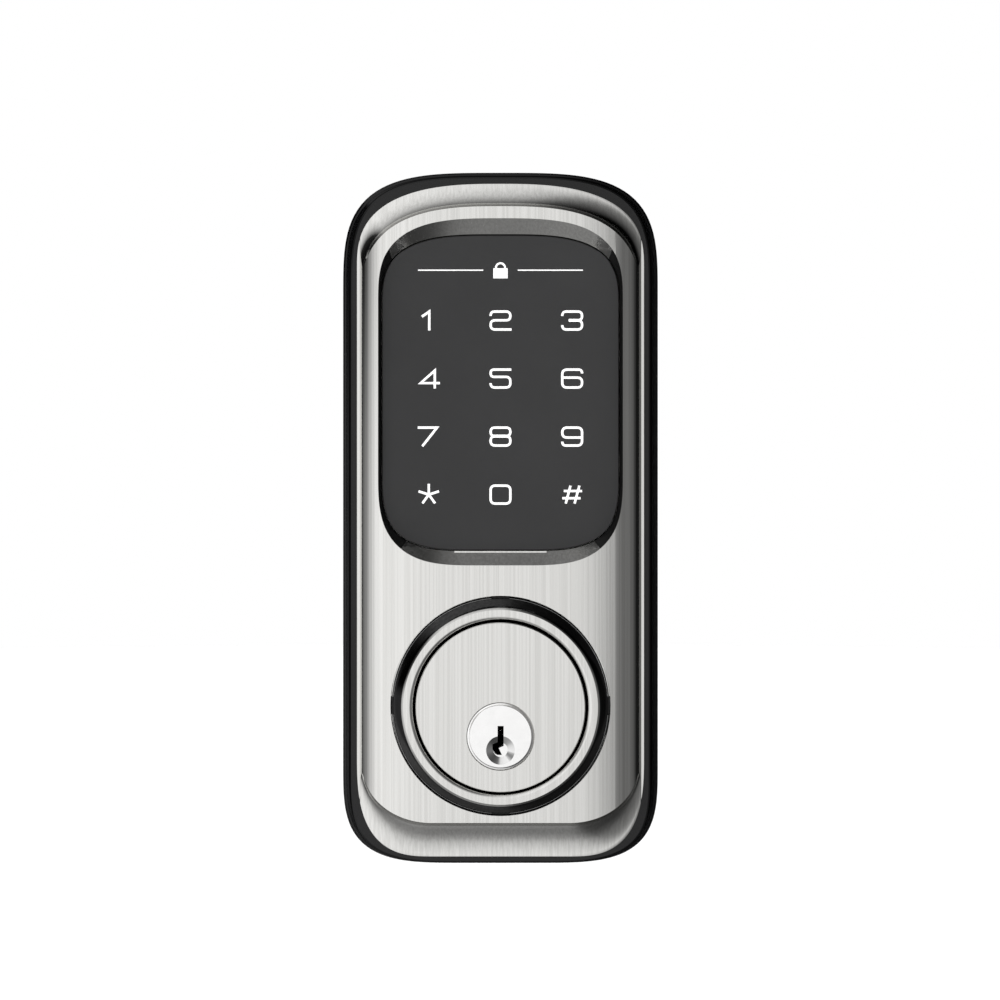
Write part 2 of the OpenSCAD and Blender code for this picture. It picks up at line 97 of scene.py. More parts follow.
def light_the_room(world):
    """Walls of light and dark: the turn away from the camera, sideways and upwards, sets the glow."""
    tree = world.node_tree
    tree.nodes.clear()
    add = tree.nodes.new
    link = tree.links.new
    where = add("ShaderNodeTexCoord")
    axes = add("ShaderNodeSeparateXYZ")
    link(where.outputs["Generated"], axes.inputs[0])

    def work(operation, *values):
        step = add("ShaderNodeMath")
        step.operation = operation
        for socket, value in zip(step.inputs, values):
            if isinstance(value, (int, float)):
                socket.default_value = value
            else:
                link(value, socket)
        return step.outputs[0]

    def angle_along(axis):
        return work("DIVIDE", work("MULTIPLY", turn_away, axes.outputs[axis]), off_axis)

    def walls_along(angle, stops):
        """Brightness by the angle in degrees along one axis."""
        place = work("MULTIPLY_ADD", angle, 1 / (2 * math.pi), 0.5)
        ramp = add("ShaderNodeValToRGB")
        link(place, ramp.inputs[0])
        marks = ramp.color_ramp.elements
        while len(marks) < len(stops):
            marks.new(0.5)
        for mark, (degrees, value) in zip(marks, stops):
            mark.position = degrees / 360 + 0.5
            mark.color = (value, value, value, 1)
        return ramp.outputs[0]

    turn_away = work("ARCCOSINE", work("MULTIPLY", axes.outputs["Y"], -1))
    off_axis = work("MAXIMUM", work("SINE", turn_away), 0.0001)
    across, above = angle_along("X"), angle_along("Z")
    corner = work("MULTIPLY", work("MAXIMUM", across, 0), work("MAXIMUM", above, 0))
    black_flag = work("SUBTRACT", 1, work("SMOOTH_MIN", work("MULTIPLY", corner, 0.9), 1, 0.2))
    black_flag = work("MAXIMUM", black_flag, 0)
    more_left_than_up = work("SUBTRACT", work("MULTIPLY", across, -1), work("MULTIPLY", above, 0.9))
    left_corner = work("MULTIPLY", work("MAXIMUM", more_left_than_up, 0), work("MAXIMUM", above, 0))
    left_flag = work("MAXIMUM", work("SUBTRACT", 1, work("MULTIPLY", left_corner, 2.6)), 0.02)
    sideways = walls_along(across, [
        (-180, 0.01), (-140, 0.03), (-123, 0.17), (-100, 0.3), (-82, 0.6), (-58, 0.88), (-39, 0.97),
        (-20, 1.0), (-6, 0.95), (-1.4, 0.88), (1.4, 0.86), (6, 0.7), (10, 0.45), (14, 0.3), (20, 0.22),
        (48, 0.15), (70, 0.16), (93, 0.11), (115, 0.01), (180, 0.005)])
    upwards = walls_along(above, [
        (-180, 0.1), (-140, 0.2), (-107, 0.28), (-82, 0.22), (-65, 0.25), (-51, 0.38), (-37, 0.68),
        (-24, 0.86), (-15, 0.95), (0, 1.0), (26, 0.93), (40, 0.86), (56, 0.76), (71, 0.62), (90, 0.4),
        (110, 0.2), (130, 0.03), (180, 0.01)])
    walls = add("ShaderNodeBackground")
    flags = work("MULTIPLY", black_flag, left_flag)
    link(work("MULTIPLY", work("MULTIPLY", sideways, upwards), flags), walls.inputs["Color"])
    walls.inputs["Strength"].default_value = 1.13
    backdrop = add("ShaderNodeBackground")
    backdrop.inputs["Color"].default_value = (1, 1, 1, 1)
    ray = add("ShaderNodeLightPath")
    choose = add("ShaderNodeMixShader")
    link(ray.outputs["Is Camera Ray"], choose.inputs[0])
    link(walls.outputs[0], choose.inputs[1])
    link(backdrop.outputs[0], choose.inputs[2])
    out = add("ShaderNodeOutputWorld")
    link(choose.outputs[0], out.inputs[0])


light_the_room(studio)

bpy.ops.object.light_add(type="SUN", location=(0, 0, 1))
overhead = bpy.context.object
overhead.name = "overhead_light"
overhead.data.energy = 3.2
overhead.data.angle = math.radians(40)
overhead.visible_glossy = False
under_light = bpy.data.collections.new("lit_from_above")
under_light.objects.link(floor)
overhead.light_linking.receiver_collection = under_light


# ---------------------------------------------------------------- escutcheon
# A zinc die casting, brushed up and down and plated satin nickel. Its raised face is flat and
# rounds back at both sides, inside a hollow cove that runs round the edge.
rim = (34.0, 113.0, -36.1, (33.6, 26.6, 3.5), (26.1, 21.4, 3.5))
metal = (30.1, 108.9, -32.1, (30.0, 17.4, 2.7), (15.6, 21.0, 2.8))
face = (28.55, 103.8, -24.4, (28.4, 18.4, 2.75), (14.2, 11.4, 2.0))
opening = (25.65, 101.2, 29.15, (25.5, 16.8, 3), (20.5, 19.0, 3))
window = (24.9, 98.1, 32.0, (23.0, 14.7, 3), (18.5, 15.3, 3))
pocket = (26.3, 26.6, -23.5, (6, 6, 2), (13, 10.7, 2))
face_t = 24.0
flange_t = 18.6
plate_t = 4.2
recess_t = 21.4
ledge_t = 18.4
ledge_back_t = 16.9
pocket_t = 21.2
guard_r = 22.2
shoulder_x = 23.7
shoulder_r = 6.15
shoulder_end = math.radians(68)
land_t = 18.3
crown_x = 13.0
crown_end = math.radians(4.5)
screw_posts = ((-14, 100.4), (14, 100.4), (-21.2, -23.6), (21.2, -23.6))


def inset(shape, d):
    """The outline drawn in by d all round."""
    half, top, bottom, high, low = shape
    return (half - d, top - d, bottom + d, (high[0] - d, high[1] - 0.8 * d, high[2]),
            (low[0] - 0.8 * d, low[1] - 0.8 * d, low[2]))


def outline(shape, steps=40):
    """Points of a rounded outline seen from the front, anticlockwise from the right side."""
    half, top, bottom, high, low = shape

    def corner(size):
        a, b, power = size
        points = []
        for i in range(steps + 1):
            turn = math.pi / 2 * i / steps
            u, v = math.cos(turn), math.sin(turn)
            reach = ((u / a) ** power + (v / b) ** power) ** (-1 / power)
            points.append((reach * u, reach * v))
        return points

    upper, lower = corner(high), corner(low)
    return ([(half - high[0] + u, top - high[1] + v) for u, v in upper]
            + [(high[0] - half - u, top - high[1] + v) for u, v in reversed(upper)]
            + [(low[0] - half - u, bottom + low[1] - v) for u, v in lower]
            + [(half - low[0] + u, bottom + low[1] - v) for u, v in reversed(lower)])


def between(first, second, share):
    return [(a[0] + (b[0] - a[0]) * share, a[1] + (b[1] - a[1]) * share) for a, b in zip(first, second)]


def draw_out(name, rings):
    """A closed solid drawn forwards ring by ring, each ring a depth and its outline."""
    depth, points = rings[0]
    bpy.ops.object.select_all(action="DESELECT")
    bpy.ops.mesh.primitive_circle_add(vertices=len(points), radius=0.03, fill_type="NGON")
    piece = bpy.context.object
    piece.name = name
    mesh = piece.data
    for vertex, (x, z) in zip(mesh.vertices, points):
        vertex.co = (x * mm, -depth * mm, z * mm)
    for depth, points in rings[1:]:
        bpy.ops.object.mode_set(mode="EDIT")
        bpy.ops.mesh.extrude_region_move()
        bpy.ops.object.mode_set(mode="OBJECT")
        fresh = [v for v in mesh.vertices if v.select]
        for vertex, (x, z) in zip(fresh, points):
            vertex.co = (x * mm, -depth * mm, z * mm)
    bpy.ops.object.mode_set(mode="EDIT")
    bpy.ops.mesh.select_all(action="SELECT")
    bpy.ops.mesh.normals_make_consistent(inside=False)
    bpy.ops.object.mode_set(mode="OBJECT")
    return piece


def slab(name, shape, t0, t1, steps=40):
    points = outline(shape, steps)
    return draw_out(name, [(t0, points), (t1, points)])


def rod(name, radius, t0, t1, place=(0, 0), sides=96):
    """A round bar along the depth."""
    bpy.ops.object.select_all(action="DESELECT")
    bpy.ops.mesh.primitive_cylinder_add(vertices=sides, radius=radius * mm, depth=(t1 - t0) * mm,
                                        location=(place[0] * mm, -(t0 + t1) / 2 * mm, place[1] * mm),
                                        rotation=(math.pi / 2, 0, 0))
    bar = bpy.context.object
    bar.name = name
    bpy.ops.object.transform_apply(location=True, rotation=True, scale=True)
    return bar


def combine(piece, tool, how="DIFFERENCE"):
    """Cuts, joins or crosses a piece with a tool, and takes the tool away."""
    bpy.ops.object.select_all(action="DESELECT")
    bpy.context.view_layer.objects.active = piece
    piece.select_set(True)
    joint = piece.modifiers.new("cut", "BOOLEAN")
    joint.operation = how
    joint.solver = "EXACT"
    joint.object = tool
    bpy.ops.object.modifier_apply(modifier=joint.name)
    bpy.data.objects.remove(tool)


def soften(piece, width, angle=30, segments=2):
    """Breaks the sharp edges of a piece."""
    bpy.ops.object.select_all(action="DESELECT")
    bpy.context.view_layer.objects.active = piece
    piece.select_set(True)
    edge = piece.modifiers.new("edges", "BEVEL")
    edge.width = width * mm
    edge.segments = segments
    edge.limit_method = "ANGLE"
    edge.angle_limit = math.radians(angle)
    edge.use_clamp_overlap = True
    bpy.ops.object.modifier_apply(modifier=edge.name)


def finish_shading(piece, angle=28):
    """Smooth curves, crisp corners, and flats that stay flat."""
    bpy.ops.object.select_all(action="DESELECT")
    bpy.context.view_layer.objects.active = piece
    piece.select_set(True)
    bpy.ops.object.shade_smooth_by_angle(angle=math.radians(angle))
    even = piece.modifiers.new("even", "WEIGHTED_NORMAL")
    even.keep_sharp = True
    even.weight = 80
    bpy.ops.object.modifier_apply(modifier=even.name)


def shoulder_bar():
    """The section across the case, drawn upwards: flat, then rounding back at both sides."""
    arc = []
    drop = 0
    for i in range(13):
        share = i / 12
        arc.append((crown_x + (shoulder_x - crown_x) * share, face_t - drop))
        drop += (shoulder_x - crown_x) / 12 * math.tan(crown_end * (share + 1 / 24) ** 1.5)
    drop = face_t - arc[-1][1]
    for i in range(1, 33):
        turn = crown_end + (shoulder_end - crown_end) * i / 32
        arc.append((shoulder_x + shoulder_r * (math.sin(turn) - math.sin(crown_end)),
                    face_t - drop - shoulder_r * (math.cos(crown_end) - math.cos(turn))))
    edge_x, edge_t = arc[-1]
    foot_x = edge_x + (edge_t - land_t) / math.tan(shoulder_end)
    right = arc + [(foot_x, land_t), (rim[0], land_t), (rim[0], 0)]
    section = right + [(-x, t) for x, t in reversed(right)]
    bpy.ops.object.select_all(action="DESELECT")
    bpy.ops.mesh.primitive_circle_add(vertices=len(section), radius=0.03, fill_type="NGON")
    bar = bpy.context.object
    for vertex, (x, t) in zip(bar.data.vertices, section):
        vertex.co = (x * mm, -t * mm, rim[2] * mm)
    bpy.ops.object.mode_set(mode="EDIT")
    bpy.ops.mesh.extrude_region_move(TRANSFORM_OT_translate={"value": (0, 0, (rim[1] - rim[2]) * mm)})
    bpy.ops.mesh.select_all(action="SELECT")
    bpy.ops.mesh.normals_make_consistent(inside=False)
    bpy.ops.object.mode_set(mode="OBJECT")
    return bar


lower_land = [(9.6, 31.7), (9.6, 32.1), (-9.6, 32.1), (-9.6, 31.7)]
edge_line, face_line = outline(metal), outline(face)
cove_rise = face_t - flange_t - 0.3
cove = []
for i in range(15):
    share = i / 14
    rise = cove_rise * (1 - math.sqrt(1 - 0.98 * share * share))
    cove.append((flange_t + rise, between(edge_line, face_line, share)))
casting = draw_out("escutcheon_casting",
                   [(plate_t, outline(inset(metal, 1.7))), (flange_t - 0.6, outline(inset(metal, 1.7))),
                    (flange_t - 0.6, edge_line)]
                   + cove + [(face_t + 1.0, outline(inset(face, 0.2)))])
combine(casting, shoulder_bar(), "INTERSECT")
combine(casting, draw_out("recess", [
    (recess_t - 0.2, outline(window)), (recess_t, outline(window)),
    (face_t, outline(opening)), (face_t + 0.5, outline(inset(opening, -0.45)))]))
combine(casting, slab("window", window, ledge_t, recess_t))
combine(casting, draw_out("lower_land", [(recess_t - 0.03, lower_land), (recess_t + 0.6, lower_land)]))
combine(casting, slab("ledge", inset(window, 2.6), ledge_back_t - 1, ledge_t + 1))
hollow = slab("hollow", inset(metal, 3.3), plate_t - 1, ledge_back_t)
for spot in screw_posts:
    combine(hollow, rod("boss", 3.0, plate_t - 2, ledge_back_t + 1, spot, 48))
combine(casting, hollow)
combine(casting, slab("pocket", pocket, ledge_back_t - 1, pocket_t))
combine(casting, rod("guard_hole", guard_r + 0.1, 0, 30, sides=160))
combine(casting, rod("trim_seat", guard_r + 0.65, face_t - 1.9, 30, sides=160))


def side_block(name, width, reach, t0, t1, radius, turn):
    """A square bar along the depth, set out at a radius and turned to face it."""
    bpy.ops.object.select_all(action="DESELECT")
    bpy.ops.mesh.primitive_cube_add(size=1, scale=(reach * mm, (t1 - t0) * mm, width * mm),
                                    location=(radius * math.cos(turn) * mm, -(t0 + t1) / 2 * mm,
                                              radius * math.sin(turn) * mm),
                                    rotation=(0, -turn, 0))
    bar = bpy.context.object
    bar.name = name
    bpy.ops.object.transform_apply(location=True, rotation=True, scale=True)
    return bar


tab_turns = [math.pi / 2 * side for side in range(4)]
for turn in tab_turns:
    combine(casting, side_block("tab_slot", 3.8, 1.0, 20.5, 30, guard_r + 0.1, turn))
for spot in screw_posts:
    combine(casting, rod("tapping", 1.25, plate_t - 1, 15.5, spot, 32))
soften(casting, 0.2, 35, 3)
finish_shading(casting)


def plain_finish(name, colour, rough, metallic=0.0):
    """A material with its shader."""
    finish = bpy.data.materials.new(name)
    finish.use_nodes = True
    shader = finish.node_tree.nodes["Principled BSDF"]
    shader.inputs["Base Color"].default_value = (*colour, 1)
    shader.inputs["Roughness"].default_value = rough
    shader.inputs["Metallic"].default_value = metallic
    return finish, finish.node_tree, shader


def pattern(tree, stretch, scale=1.0, detail=3.0, rough=0.5, turn=(0, 0, 0)):
    """Noise on Object coordinates, stretched along the grain."""
    where = tree.nodes.new("ShaderNodeTexCoord")
    place = tree.nodes.new("ShaderNodeMapping")
    place.inputs["Scale"].default_value = stretch
    place.inputs["Rotation"].default_value = turn
    tree.links.new(where.outputs["Object"], place.inputs["Vector"])
    noise = tree.nodes.new("ShaderNodeTexNoise")
    noise.inputs["Scale"].default_value = scale
    noise.inputs["Detail"].default_value = detail
    noise.inputs["Roughness"].default_value = rough
    tree.links.new(place.outputs["Vector"], noise.inputs["Vector"])
    return noise.outputs["Fac"]


def spread(tree, value, low, high, start=0.3, end=0.7):
    """Turns a pattern into a number between low and high."""
    span = tree.nodes.new("ShaderNodeMapRange")
    span.inputs["From Min"].default_value = start
    span.inputs["From Max"].default_value = end
    span.inputs["To Min"].default_value = low
    span.inputs["To Max"].default_value = high
    tree.links.new(value, span.inputs["Value"])
    return span.outputs["Result"]


def tint(tree, value, dark, light, start=0.3, end=0.7):
    """Turns a pattern into a colour between dark and light."""
    ramp = tree.nodes.new("ShaderNodeValToRGB")
    ramp.color_ramp.elements[0].position = start
    ramp.color_ramp.elements[0].color = (*dark, 1)
    ramp.color_ramp.elements[1].position = end
    ramp.color_ramp.elements[1].color = (*light, 1)
    tree.links.new(value, ramp.inputs["Fac"])
    return ramp.outputs["Color"]


def relief(tree, shader, value, strength, depth):
    """Raises the surface by a pattern."""
    bump = tree.nodes.new("ShaderNodeBump")
    bump.inputs["Strength"].default_value = strength
    bump.inputs["Distance"].default_value = depth
    tree.links.new(value, bump.inputs["Height"])
    tree.links.new(bump.outputs["Normal"], shader.inputs["Normal"])


def brushed(name, light, dark, rough=0.3, grain=(1500, 1500, 8), turn=(0, 0, 0)):
    finish, tree, shader = plain_finish(name, light, rough, 1.0)
    bands = pattern(tree, grain, 1.0, 2.0, 0.6, turn)
    scratches = pattern(tree, tuple(4 * g for g in grain), 1.0, 3.0, 0.6, turn)
    tree.links.new(tint(tree, bands, dark, light, 0.35, 0.62), shader.inputs["Base Color"])
    tree.links.new(spread(tree, scratches, rough - 0.05, rough + 0.07), shader.inputs["Roughness"])
    relief(tree, shader, scratches, 0.12, 0.00002)
    return finish


satin_nickel = brushed("satin_nickel", (0.785, 0.78, 0.76), (0.69, 0.685, 0.665), 0.12, (2100, 2100, 8))
# Painted shade: a near-black finish laid where the recess walls, the gaps round the glass and the guard, and
# the trim's notches fall dark.
painted_shade_black, shade_black_tree, shade_black_shader = plain_finish("painted_shade_black", (0.004, 0.004, 0.004), 0.5)
shade_black_grain = pattern(shade_black_tree, (800, 800, 800))
shade_black_tree.links.new(tint(shade_black_tree, shade_black_grain, (0.003, 0.003, 0.003), (0.006, 0.006, 0.006)),
                     shade_black_shader.inputs["Base Color"])
casting.data.materials.clear()
casting.data.materials.append(satin_nickel)
casting.data.materials.append(painted_shade_black)
# Painted shade: a darker copy of the satin nickel for the recess's lower slope, which falls dark.
shaded_slope_nickel = brushed("shaded_slope_nickel", (0.34, 0.337, 0.33), (0.27, 0.268, 0.26), 0.2, (2100, 2100, 8))
casting.data.materials.append(shaded_slope_nickel)
shade_reach_x, shade_bottom, shade_top = 26, 28.8, 101.4
slope_top = 45
# Painted shade: the recess's side walls, the gap round the glass and the seat round the guard take the
# near-black finish, and the recess's lower slope takes the darker copy of the nickel.
for polygon in casting.data.polygons:
    x, t, z = polygon.center.x / mm, -polygon.center.y / mm, polygon.center.z / mm
    in_recess = abs(x) < shade_reach_x and shade_bottom < z < shade_top and ledge_t < t < face_t - 0.02
    faces_in = polygon.normal.x * x < 0
    in_seat = guard_r < math.hypot(x, z) < guard_r + 0.72 and t < face_t - 0.35
    wall_limit = 0.45 if z < slope_top else 0.62
    on_wall = faces_in and abs(polygon.normal.x) > wall_limit
    below_glass = t < recess_t - 0.05 and abs(polygon.normal.y) < 0.3
    if in_recess and (on_wall or below_glass):
        polygon.material_index = 1
    elif in_recess and z < slope_top and polygon.normal.z > 0.3:
        polygon.material_index = 2
    elif in_seat:
        polygon.material_index = 1
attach(casting, "case")
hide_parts("escutcheon")


# ---------------------------------------------------------------- rear housing
# A black moulding in fine-textured nylon that the casting drops into. It flares out to a rounded
# foot at the door, and its front edge has a narrow lip round the metal. Two bands round its side carry
# painted shade: a darker, matt black where the curved wall falls dark.
floor_t = 3.0
gasket_t = 1.0
adapter_r = 26.7


def soft_step(start, end, share):
    ease = share * share * (3 - 2 * share)
    return start + (end - start) * ease


wall = []
foot_centre = gasket_t + 1.4
for i in range(9):
    turn = math.pi * i / 8 - math.pi / 2
    wall.append((foot_centre + 1.4 * math.sin(turn), 0.75 * (1 - math.cos(turn))))
for i in range(1, 9):
    wall.append((foot_centre + 1.4 + 2.4 * i / 8, soft_step(0.75, 1.7, i / 8)))
wall += [(10.0, 2.2), (14.4, 2.62), (14.9, 2.95), (15.3, 3.05), (15.7, 2.9), (16.0, 2.5),
         (16.6, 2.4), (17.4, 2.45), (17.8, 2.6), (18.0, 2.9), (18.0, 3.1)]
housing = draw_out("rear_housing_shell", [(t, outline(inset(rim, d))) for t, d in wall])
combine(housing, slab("inside", inset(metal, 1.6), floor_t, flange_t + 1))
combine(housing, rod("adapter_hole", adapter_r + 0.05, -1, floor_t + 1, sides=128))
combine(housing, rod("adapter_seat", adapter_r + 1.15, gasket_t + 1, floor_t + 1, sides=128))
for spot in screw_posts:
    combine(housing, rod("screw_way", 1.6, 0, floor_t + 1, spot, 40))
    combine(housing, rod("screw_sink", 2.9, 0, gasket_t + 1.1, spot, 48))
soften(housing, 0.12, 40, 2)
finish_shading(housing)


def moulded(name, dark, light, rough=0.42, pitch=2600, depth=0.00002, bumps=0.25):
    finish, tree, shader = plain_finish(name, dark, rough)
    clouds = pattern(tree, (90, 90, 90), 1.0, 4.0)
    grain = pattern(tree, (pitch, pitch, pitch), 1.0, 2.0)
    tree.links.new(tint(tree, clouds, dark, light), shader.inputs["Base Color"])
    tree.links.new(spread(tree, grain, rough - 0.06, rough + 0.08), shader.inputs["Roughness"])
    relief(tree, shader, grain, bumps, depth)
    return finish


case_black = moulded("case_black", (0.004, 0.004, 0.0045), (0.006, 0.006, 0.0065), 0.14, bumps=0.04)
case_black.node_tree.nodes["Principled BSDF"].inputs["Specular IOR Level"].default_value = 0.35
housing.data.materials.clear()
housing.data.materials.append(case_black)
# Painted shade: a darker, matt copy of the black for the two bands where the rim's wall falls dark.
shade_band_black = moulded("shade_band_black", (0.0015, 0.0015, 0.0015), (0.003, 0.003, 0.003), 0.6, bumps=0.5)
shade_band_black.node_tree.nodes["Principled BSDF"].inputs["Specular IOR Level"].default_value = 0.08
housing.data.materials.append(shade_band_black)
hub_reach = (adapter_r + 2) * mm
for polygon in housing.data.polygons:
    t = -polygon.center.y / mm
    outside_hub = max(abs(polygon.center.x), abs(polygon.center.z)) > hub_reach
    in_shade_band = 5.4 < t < 9 or 14.6 < t < 17.7
    if outside_hub and in_shade_band and abs(polygon.normal.y) < 0.8:
        polygon.material_index = 1
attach(housing, "case")
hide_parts("rear_housing")


# ---------------------------------------------------------------- guard
# A ring turned from brass. Its cone is plated in polished black nickel, its front is brushed
# through to satin nickel like the case, and its inner edge is rounded down to the cylinder.
disc_t = face_t + 3.0
disc_r = 17.5


def turned(name, profile, place=(0, 0), steps=160):
    """A profile of radius and depth, spun round an axis that runs front to back."""
    bpy.ops.object.select_all(action="DESELECT")
    bpy.ops.mesh.primitive_circle_add(vertices=len(profile), radius=0.03, fill_type="NOTHING")
    piece = bpy.context.object
    piece.name = name
    for vertex, (radius, depth) in zip(piece.data.vertices, profile):
        vertex.co = ((place[0] + radius) * mm, -depth * mm, place[1] * mm)
    bpy.ops.object.mode_set(mode="EDIT")
    bpy.ops.mesh.select_all(action="SELECT")
    bpy.ops.mesh.spin(steps=steps, angle=2 * math.pi, axis=(0, 1, 0),
                      center=(place[0] * mm, 0, place[1] * mm))
    bpy.ops.mesh.select_all(action="SELECT")
    bpy.ops.mesh.remove_doubles(threshold=0.000002)
    bpy.ops.mesh.select_all(action="SELECT")
    bpy.ops.mesh.normals_make_consistent(inside=False)
    bpy.ops.object.mode_set(mode="OBJECT")
    return piece


ring_inner = disc_r + 0.08
ring_profile = [(ring_inner, 19.1), (guard_r + 0.8, 19.1), (guard_r + 0.8, pocket_t - 0.2),
                (guard_r, pocket_t - 0.2), (guard_r, face_t + 0.3)]
for i in range(5):
    ring_profile.append((guard_r - 0.42 * i, face_t + 0.3 + 0.6 * i))
ring_profile += [(guard_r - 1.95, disc_t - 0.12), (guard_r - 2.1, disc_t), (guard_r - 2.2, disc_t),
                 (ring_inner + 1.3, disc_t)]
for i in range(9):
    turn = math.pi / 2 * (1 - i / 8)
    ring_profile.append((ring_inner + 1.2 * (1 - math.cos(turn)), disc_t - 2.4 * (1 - math.sin(turn))))
guard = turned("guard_turning", ring_profile)
finish_shading(guard, 24)
polished = brushed("polished_nickel", (0.075, 0.075, 0.077), (0.05, 0.05, 0.052), 0.1)
guard.data.materials.clear()
guard.data.materials.append(polished)
guard.data.materials.append(satin_nickel)
for polygon in guard.data.polygons:
    if -polygon.center.y > (disc_t - 0.3) * mm:
        polygon.material_index = 1
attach(guard, "case")
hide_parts("guard_ring")

# Trim ring: a thin nickelled spring-steel ring that snaps into the casting round the guard, with
# four notches where its tabs go in. The notches take the near-black finish as painted shade.
trim = turned("guard_trim", [(guard_r + 0.12, 23.1), (guard_r + 0.42, 23.1), (guard_r + 0.42, 23.8),
                             (guard_r + 0.36, 23.9), (guard_r + 0.18, 24.1), (guard_r + 0.12, 24.1)])
for turn in tab_turns:
    combine(trim, side_block("tab_notch", 3.8, 3, 23.3, 26, guard_r + 0.5, turn))
finish_shading(trim)
trim_nickel = brushed("trim_nickel", (0.26, 0.26, 0.26), (0.2, 0.2, 0.2), 0.12, (900, 900, 900))
trim.data.materials.clear()
trim.data.materials.append(trim_nickel)
trim.data.materials.append(painted_shade_black)
notch_floor_t = 23.5
# Painted shade: the notch floors and walls take the near-black finish.
for polygon in trim.data.polygons:
    if -polygon.center.y < notch_floor_t * mm:
        polygon.material_index = 1
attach(trim, "case")
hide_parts("guard_trim_ring")


# ---------------------------------------------------------------- cylinder
# The cylinder body: a brass casting with a plated and brushed front, bored for the plug, with a
# row of pin chambers above it.
plug_drop = 6.0
plug_r = 6.35
plug_face_t = 27.3
body = turned("cylinder_casting", [(0, 4.2), (15.4, 4.2), (15.4, 19.3), (disc_r, 19.3),
                                   (disc_r, disc_t - 0.15), (disc_r - 0.15, disc_t), (0, disc_t)])
combine(body, rod("plug_bore", plug_r + 0.06, 0, 40, (0, -plug_drop), 128))
combine(body, rod("plug_mouth", plug_r + 0.71, plug_face_t - 1.6, 40, (0, -plug_drop), 128))


def upright(name, radius, bottom, top, depth, sides=40):
    """A round bar standing up at a depth."""
    bpy.ops.object.select_all(action="DESELECT")
    bpy.ops.mesh.primitive_cylinder_add(vertices=sides, radius=radius * mm, depth=(top - bottom) * mm,
                                        location=(0, -depth * mm, (bottom + top) / 2 * mm))
    bar = bpy.context.object
    bar.name = name
    bpy.ops.object.transform_apply(location=True, rotation=True, scale=True)
    return bar


def block(name, width, height, t0, t1, place=(0, 0)):
    """A square bar along the depth."""
    bpy.ops.object.select_all(action="DESELECT")
    bpy.ops.mesh.primitive_cube_add(size=1, location=(place[0] * mm, -(t0 + t1) / 2 * mm, place[1] * mm),
                                    scale=(width * mm, (t1 - t0) * mm, height * mm))
    bar = bpy.context.object
    bar.name = name
    bpy.ops.object.transform_apply(location=True, rotation=True, scale=True)
    return bar


chamber_depths = [22.6 - 3.8 * i for i in range(5)]
chamber_r = 1.48
chamber_top = 10.6
for depth in chamber_depths:
    combine(body, upright("chamber", chamber_r, -plug_drop, chamber_top, depth))
combine(body, block("cap_slot", 5.2, 1.4, 3, 25, (0, chamber_top + 0.7)))
for side in (-1, 1):
    combine(body, rod("screw_hole", 1.25, 0, 14, (10.6 * side, 5.4), 32))
    combine(body, rod("drill_pin_hole", 0.9, 12, 25, (5 * side, 2.2), 32))
finish_shading(body)
body.data.materials.clear()
body.data.materials.append(satin_nickel)
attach(body, "case")
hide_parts("cylinder_body")

# The plug: turned nickel silver, faced bright, with a broached keyway and a countersunk mouth.
lug_r = 4.9
mouth_r = 2.97
mouth_drop = 2.83
plug = turned("key_plug_turning",
              [(0, 0.6), (5.2, 0.6), (5.2, 4.1), (plug_r, 4.9), (plug_r, plug_face_t - 1.5),
               (plug_r + 0.65, plug_face_t - 1.5), (plug_r + 0.65, plug_face_t - 0.62),
               (plug_r + 0.5, plug_face_t - 0.38), (plug_r + 0.22, plug_face_t - 0.3),
               (plug_r + 0.1, plug_face_t - 0.06), (plug_r, plug_face_t), (0, plug_face_t)],
              (0, -plug_drop))
for side in (90, -90):
    lug_line = []
    for i in range(13):
        turn = math.radians(side - 90 + 20 - 40 * i / 12)
        lug_line.append((lug_r * math.cos(turn), lug_r * math.sin(turn) - plug_drop))
    for i in range(13):
        turn = math.radians(side - 90 - 20 + 40 * i / 12)
        lug_line.append((2.6 * math.cos(turn), 2.6 * math.sin(turn) - plug_drop))
    combine(plug, draw_out("lug", [(-0.8, lug_line), (0.7, lug_line)]), "UNION")
keyway = [(-0.6, 2.2), (0.65, 2.2), (0.65, -2.05), (-0.35, -2.45), (-0.1, -3.0), (0.3, -3.9),
          (-0.65, -3.9), (-1.15, -3.6), (-1.65, -2.7), (-1.65, -1.65), (-0.6, -1.25)]
broach_line = [(x, z - plug_drop) for x, z in reversed(keyway)]
bpy.ops.object.select_all(action="DESELECT")
bpy.ops.mesh.primitive_cone_add(vertices=96, radius1=mouth_r / 2 * mm, radius2=mouth_r * mm, depth=1.0 * mm,
                                location=(0, -(plug_face_t - 0.49) * mm, -(plug_drop + mouth_drop) * mm),
                                rotation=(math.pi / 2, 0, 0))
mouth = bpy.context.object
bpy.ops.object.transform_apply(location=True, rotation=True, scale=True)
combine(plug, mouth)
combine(plug, draw_out("broach", [(6.5, broach_line), (40, broach_line)]))
for depth in chamber_depths:
    combine(plug, upright("chamber", chamber_r, -plug_drop - 1.2, 2, depth))
finish_shading(plug)
plug_nickel = brushed("plug_nickel", (0.985, 0.98, 0.975), (0.96, 0.955, 0.95), 0.08, (500, 500, 500))
# Painted shade: a near-black finish for the keyway's inside, where the slot falls dark.
keyway_painted_shade = moulded("keyway_painted_shade", (0.010, 0.009, 0.008), (0.018, 0.016, 0.014), 0.6)
plug.data.materials.clear()
plug.data.materials.append(plug_nickel)
plug.data.materials.append(keyway_painted_shade)
# Painted shade: the keyway's side walls and far end take the dark finish.
for polygon in plug.data.polygons:
    x, t, z = polygon.center.x / mm, -polygon.center.y / mm, polygon.center.z / mm + plug_drop
    in_slot = abs(x) < 1.75 and -4 < z < 2.3 and 6.4 < t < plug_face_t - 0.02
    sideways = abs(polygon.normal.y) < 0.2
    if in_slot and (sideways or t < 7):
        polygon.material_index = 1
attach(plug, "plug")
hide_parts("key_plug")


